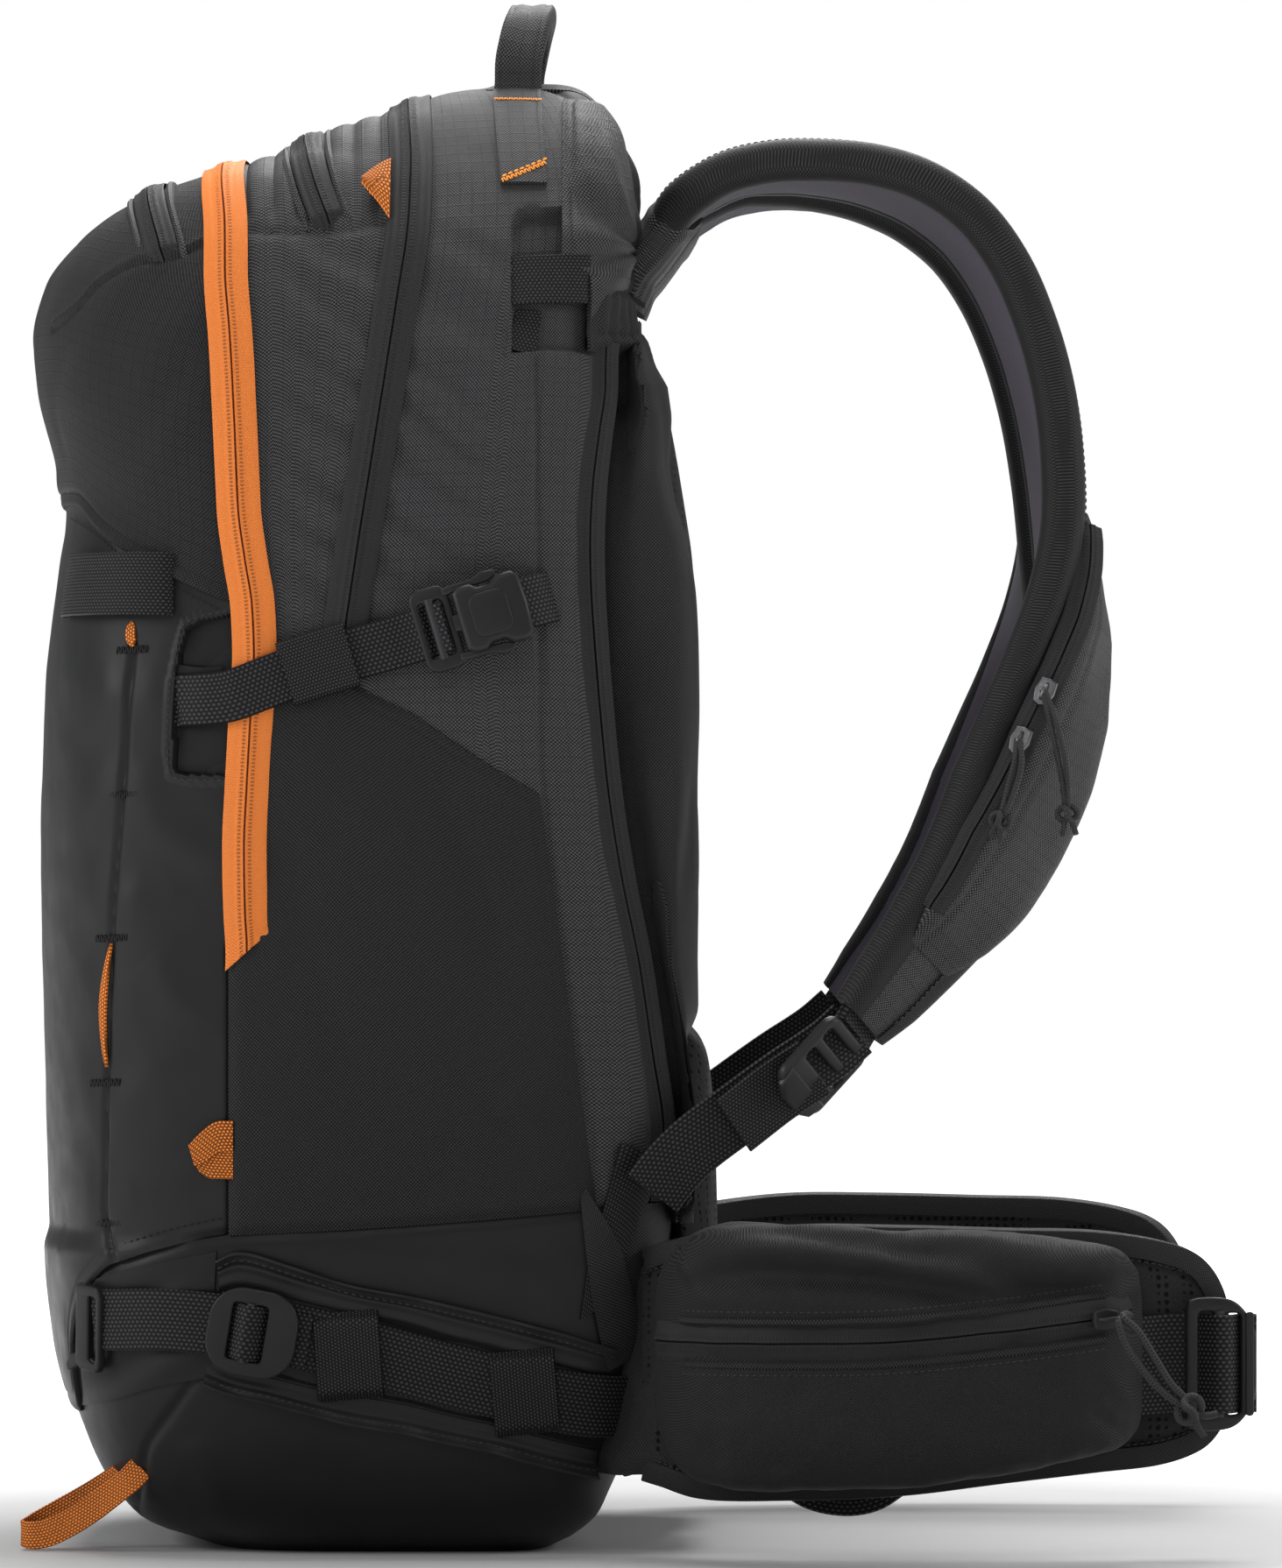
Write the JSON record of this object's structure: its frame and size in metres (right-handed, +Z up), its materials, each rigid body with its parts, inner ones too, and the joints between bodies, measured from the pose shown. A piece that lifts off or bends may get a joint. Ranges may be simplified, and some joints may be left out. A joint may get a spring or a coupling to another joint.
{
  "type": "avalanche airbag backpack",
  "caption": "Touring backpack with arched zips, a coated base, shoulder harness, padded hip belt, and an inner fan module with a folded airbag.",
  "frame": {"origin": "on the floor, under the middle of the pack's base", "axes": "+Z up, +X towards the wearer (harness side), +Y towards the wearer's left"},
  "size_m": [0.4788, 0.362, 0.6096],
  "materials": {
    "airbag_fabric": "folded light cloth, satin",
    "bag_fabric": "woven, matte",
    "buckle_plastic": "moulded, satin",
    "button_plastic": "moulded, satin",
    "coated_fabric": "smooth coated cloth, satin",
    "cord": "braided cord, matte",
    "fan_plastic": "moulded, satin",
    "frame_plastic": "sheet, satin",
    "module_case": "cast case, matte",
    "motor_metal": "satin",
    "orange_textile": "woven tape, matte",
    "padding_fabric": "open mesh over foam, matte",
    "slider_metal": "satin",
    "stay_metal": "flat bar, satin",
    "strap_fabric": "woven over foam, matte",
    "webbing": "woven webbing, matte",
    "zip_tape": "zip tape with moulded teeth, matte"
  },
  "bodies": {
    "pack": {"back_panel": "padding_fabric", "back_wall": "bag_fabric", "back_zip_left": "zip_tape", "back_zip_right": "zip_tape", "centre_band": "bag_fabric", "coated_base": "coated_fabric", "fan_housing": "fan_plastic", "fan_motor": "motor_metal", "folded_airbag": "airbag_fabric", "frame_sheet": "frame_plastic", "frame_stay": "stay_metal", "front_panel": "coated_fabric", "front_upper_pocket": "bag_fabric", "front_zip": "orange_textile", "goggle_zip": "zip_tape", "harness_yoke": "bag_fabric", "intake_grille": "fan_plastic", "load_lifter_left": "webbing", "load_lifter_right": "webbing", "lumbar_pad": "padding_fabric", "main_zip": "zip_tape", "power_module": "module_case", "rear_band": "bag_fabric", "shaft_loop": "webbing", "side_buckle_socket_left": "buckle_plastic", "side_buckle_socket_right": "buckle_plastic", "side_strap_left": "webbing", "side_strap_right": "webbing", "ski_strap_left": "webbing", "ski_strap_right": "webbing", "top_pocket_zip": "zip_tape", "trigger_cable": "fan_plastic"},
    "carry_handle": {"carry_handle": "webbing"},
    "shoulder_strap_right": {"shoulder_pad_right": "strap_fabric", "shoulder_webbing_right": "webbing", "trigger_pocket": "bag_fabric"},
    "shoulder_strap_left": {"shoulder_pad_left": "strap_fabric", "shoulder_webbing_left": "webbing"},
    "shoulder_adjuster_right": {"shoulder_adjuster_right": "buckle_plastic"},
    "shoulder_adjuster_left": {"shoulder_adjuster_left": "buckle_plastic"},
    "hip_wing_right": {"hip_wing_right": "strap_fabric", "hip_webbing_right": "webbing", "hip_pocket": "bag_fabric", "hip_pocket_zip": "zip_tape"},
    "hip_wing_left": {"hip_wing_left": "strap_fabric", "hip_webbing_left": "webbing"},
    "hip_buckle_right": {"hip_buckle_right": "buckle_plastic"},
    "hip_buckle_left": {"hip_buckle_left": "buckle_plastic"},
    "zip_slider": {"zip_slider": "slider_metal"},
    "zip_cord": {"zip_cord": "cord"},
    "side_buckle_plug_right": {"side_buckle_plug_right": "buckle_plastic"},
    "side_buckle_plug_left": {"side_buckle_plug_left": "buckle_plastic"},
    "ski_strap_slider_right": {"ski_strap_slider_right": "buckle_plastic"},
    "ski_strap_slider_left": {"ski_strap_slider_left": "buckle_plastic"},
    "ski_strap_hook_right": {"ski_strap_hook_right": "buckle_plastic"},
    "ski_strap_hook_left": {"ski_strap_hook_left": "buckle_plastic"},
    "ice_axe_loop": {"ice_axe_loop": "orange_textile"},
    "trigger_handle": {"trigger_handle": "orange_textile"},
    "fan_rotor": {"fan_rotor": "fan_plastic"},
    "power_button": {"power_button": "button_plastic"}
  },
  "joints": [
    {"name": "carry_handle_flop", "type": "hinge", "parent": "pack", "child": "carry_handle", "pos_m": [0.052, 0, 0.582], "axis": [0, 1, 0], "range_deg": [-55, 55], "stiffness_Nm_per_rad": 0.005},
    {"name": "shoulder_strap_right_swing", "type": "hinge", "parent": "pack", "child": "shoulder_strap_right", "pos_m": [0.1025, -0.075, 0.498], "axis": [-0.0262, 0.1822, 0.9829], "range_deg": [-45, 4], "stiffness_Nm_per_rad": 1.5},
    {"name": "shoulder_strap_left_swing", "type": "hinge", "parent": "pack", "child": "shoulder_strap_left", "pos_m": [0.1025, 0.075, 0.498], "axis": [-0.0262, -0.1822, 0.9829], "range_deg": [-4, 45], "stiffness_Nm_per_rad": 1.5},
    {"name": "shoulder_adjuster_right_tilt", "type": "hinge", "parent": "shoulder_strap_right", "child": "shoulder_adjuster_right", "pos_m": [0.18567, -0.13218, 0.20035], "axis": [-0.5394, -0.232, 0.8095], "range_deg": [0, 35]},
    {"name": "shoulder_adjuster_left_tilt", "type": "hinge", "parent": "shoulder_strap_left", "child": "shoulder_adjuster_left", "pos_m": [0.18567, 0.13218, 0.20035], "axis": [0.5394, -0.232, -0.8095], "range_deg": [0, 35]},
    {"name": "hip_wing_right_swing", "type": "hinge", "parent": "pack", "child": "hip_wing_right", "pos_m": [0.113, -0.13, 0.078], "axis": [0, 0, 1], "range_deg": [-60, 30], "stiffness_Nm_per_rad": 0.4},
    {"name": "hip_wing_left_swing", "type": "hinge", "parent": "pack", "child": "hip_wing_left", "pos_m": [0.113, 0.13, 0.078], "axis": [0, 0, 1], "range_deg": [-30, 60], "stiffness_Nm_per_rad": 0.4},
    {"name": "hip_buckle_right_flip", "type": "hinge", "parent": "hip_wing_right", "child": "hip_buckle_right", "pos_m": [0.3165, -0.1605, 0.076], "axis": [0, 0, 1], "range_deg": [-50, 0]},
    {"name": "hip_buckle_left_flip", "type": "hinge", "parent": "hip_wing_left", "child": "hip_buckle_left", "pos_m": [0.3165, 0.1605, 0.076], "axis": [0, 0, 1], "range_deg": [0, 50]},
    {"name": "hip_pocket_zip_run", "type": "slide", "parent": "hip_wing_right", "child": "zip_slider", "axis": [-0.9982, 0, -0.0599], "range_m": [0, 0.145]},
    {"name": "zip_cord_swing", "type": "hinge", "parent": "zip_slider", "child": "zip_cord", "pos_m": [0.282, -0.1966, 0.092], "axis": [0, 1, 0], "range_deg": [-40, 30]},
    {"name": "side_buckle_plug_right_release", "type": "slide", "parent": "pack", "child": "side_buckle_plug_right", "axis": [-0.9577, -0.0288, -0.2864], "range_m": [0, 0.022]},
    {"name": "side_buckle_plug_left_release", "type": "slide", "parent": "pack", "child": "side_buckle_plug_left", "axis": [-0.9577, 0.0288, -0.2864], "range_m": [0, 0.022]},
    {"name": "ski_strap_slider_right_run", "type": "slide", "parent": "pack", "child": "ski_strap_slider_right", "axis": [0.9806, -0.091, -0.1738], "range_m": [-0.015, 0.015]},
    {"name": "ski_strap_slider_left_run", "type": "slide", "parent": "pack", "child": "ski_strap_slider_left", "axis": [0.9806, 0.091, -0.1738], "range_m": [-0.015, 0.015]},
    {"name": "ski_strap_hook_right_flip", "type": "hinge", "parent": "pack", "child": "ski_strap_hook_right", "pos_m": [-0.10164, -0.12434, 0.08642], "axis": [0.0196, -0.1931, 0.981], "range_deg": [0, 75]},
    {"name": "ski_strap_hook_left_flip", "type": "hinge", "parent": "pack", "child": "ski_strap_hook_left", "pos_m": [-0.10164, 0.12434, 0.08642], "axis": [-0.0196, -0.1931, -0.981], "range_deg": [0, 75]},
    {"name": "ice_axe_loop_swing", "type": "hinge", "parent": "pack", "child": "ice_axe_loop", "pos_m": [-0.1, -0.0845, 0.0245], "axis": [0, 1, 0], "range_deg": [0, 30]},
    {"name": "trigger_handle_pull", "type": "slide", "parent": "shoulder_strap_right", "child": "trigger_handle", "axis": [-0.2749, -0.1833, -0.9438], "range_m": [0, 0.03]},
    {"name": "fan_rotor_spin", "type": "hinge", "parent": "pack", "child": "fan_rotor", "pos_m": [-0.005, 0, 0.392], "axis": [0, 1, 0], "continuous": true},
    {"name": "power_button_press", "type": "slide", "parent": "pack", "child": "power_button", "axis": [0, 0, -1], "range_m": [0, 0.0015], "stiffness_N_per_m": 60}
  ]
}
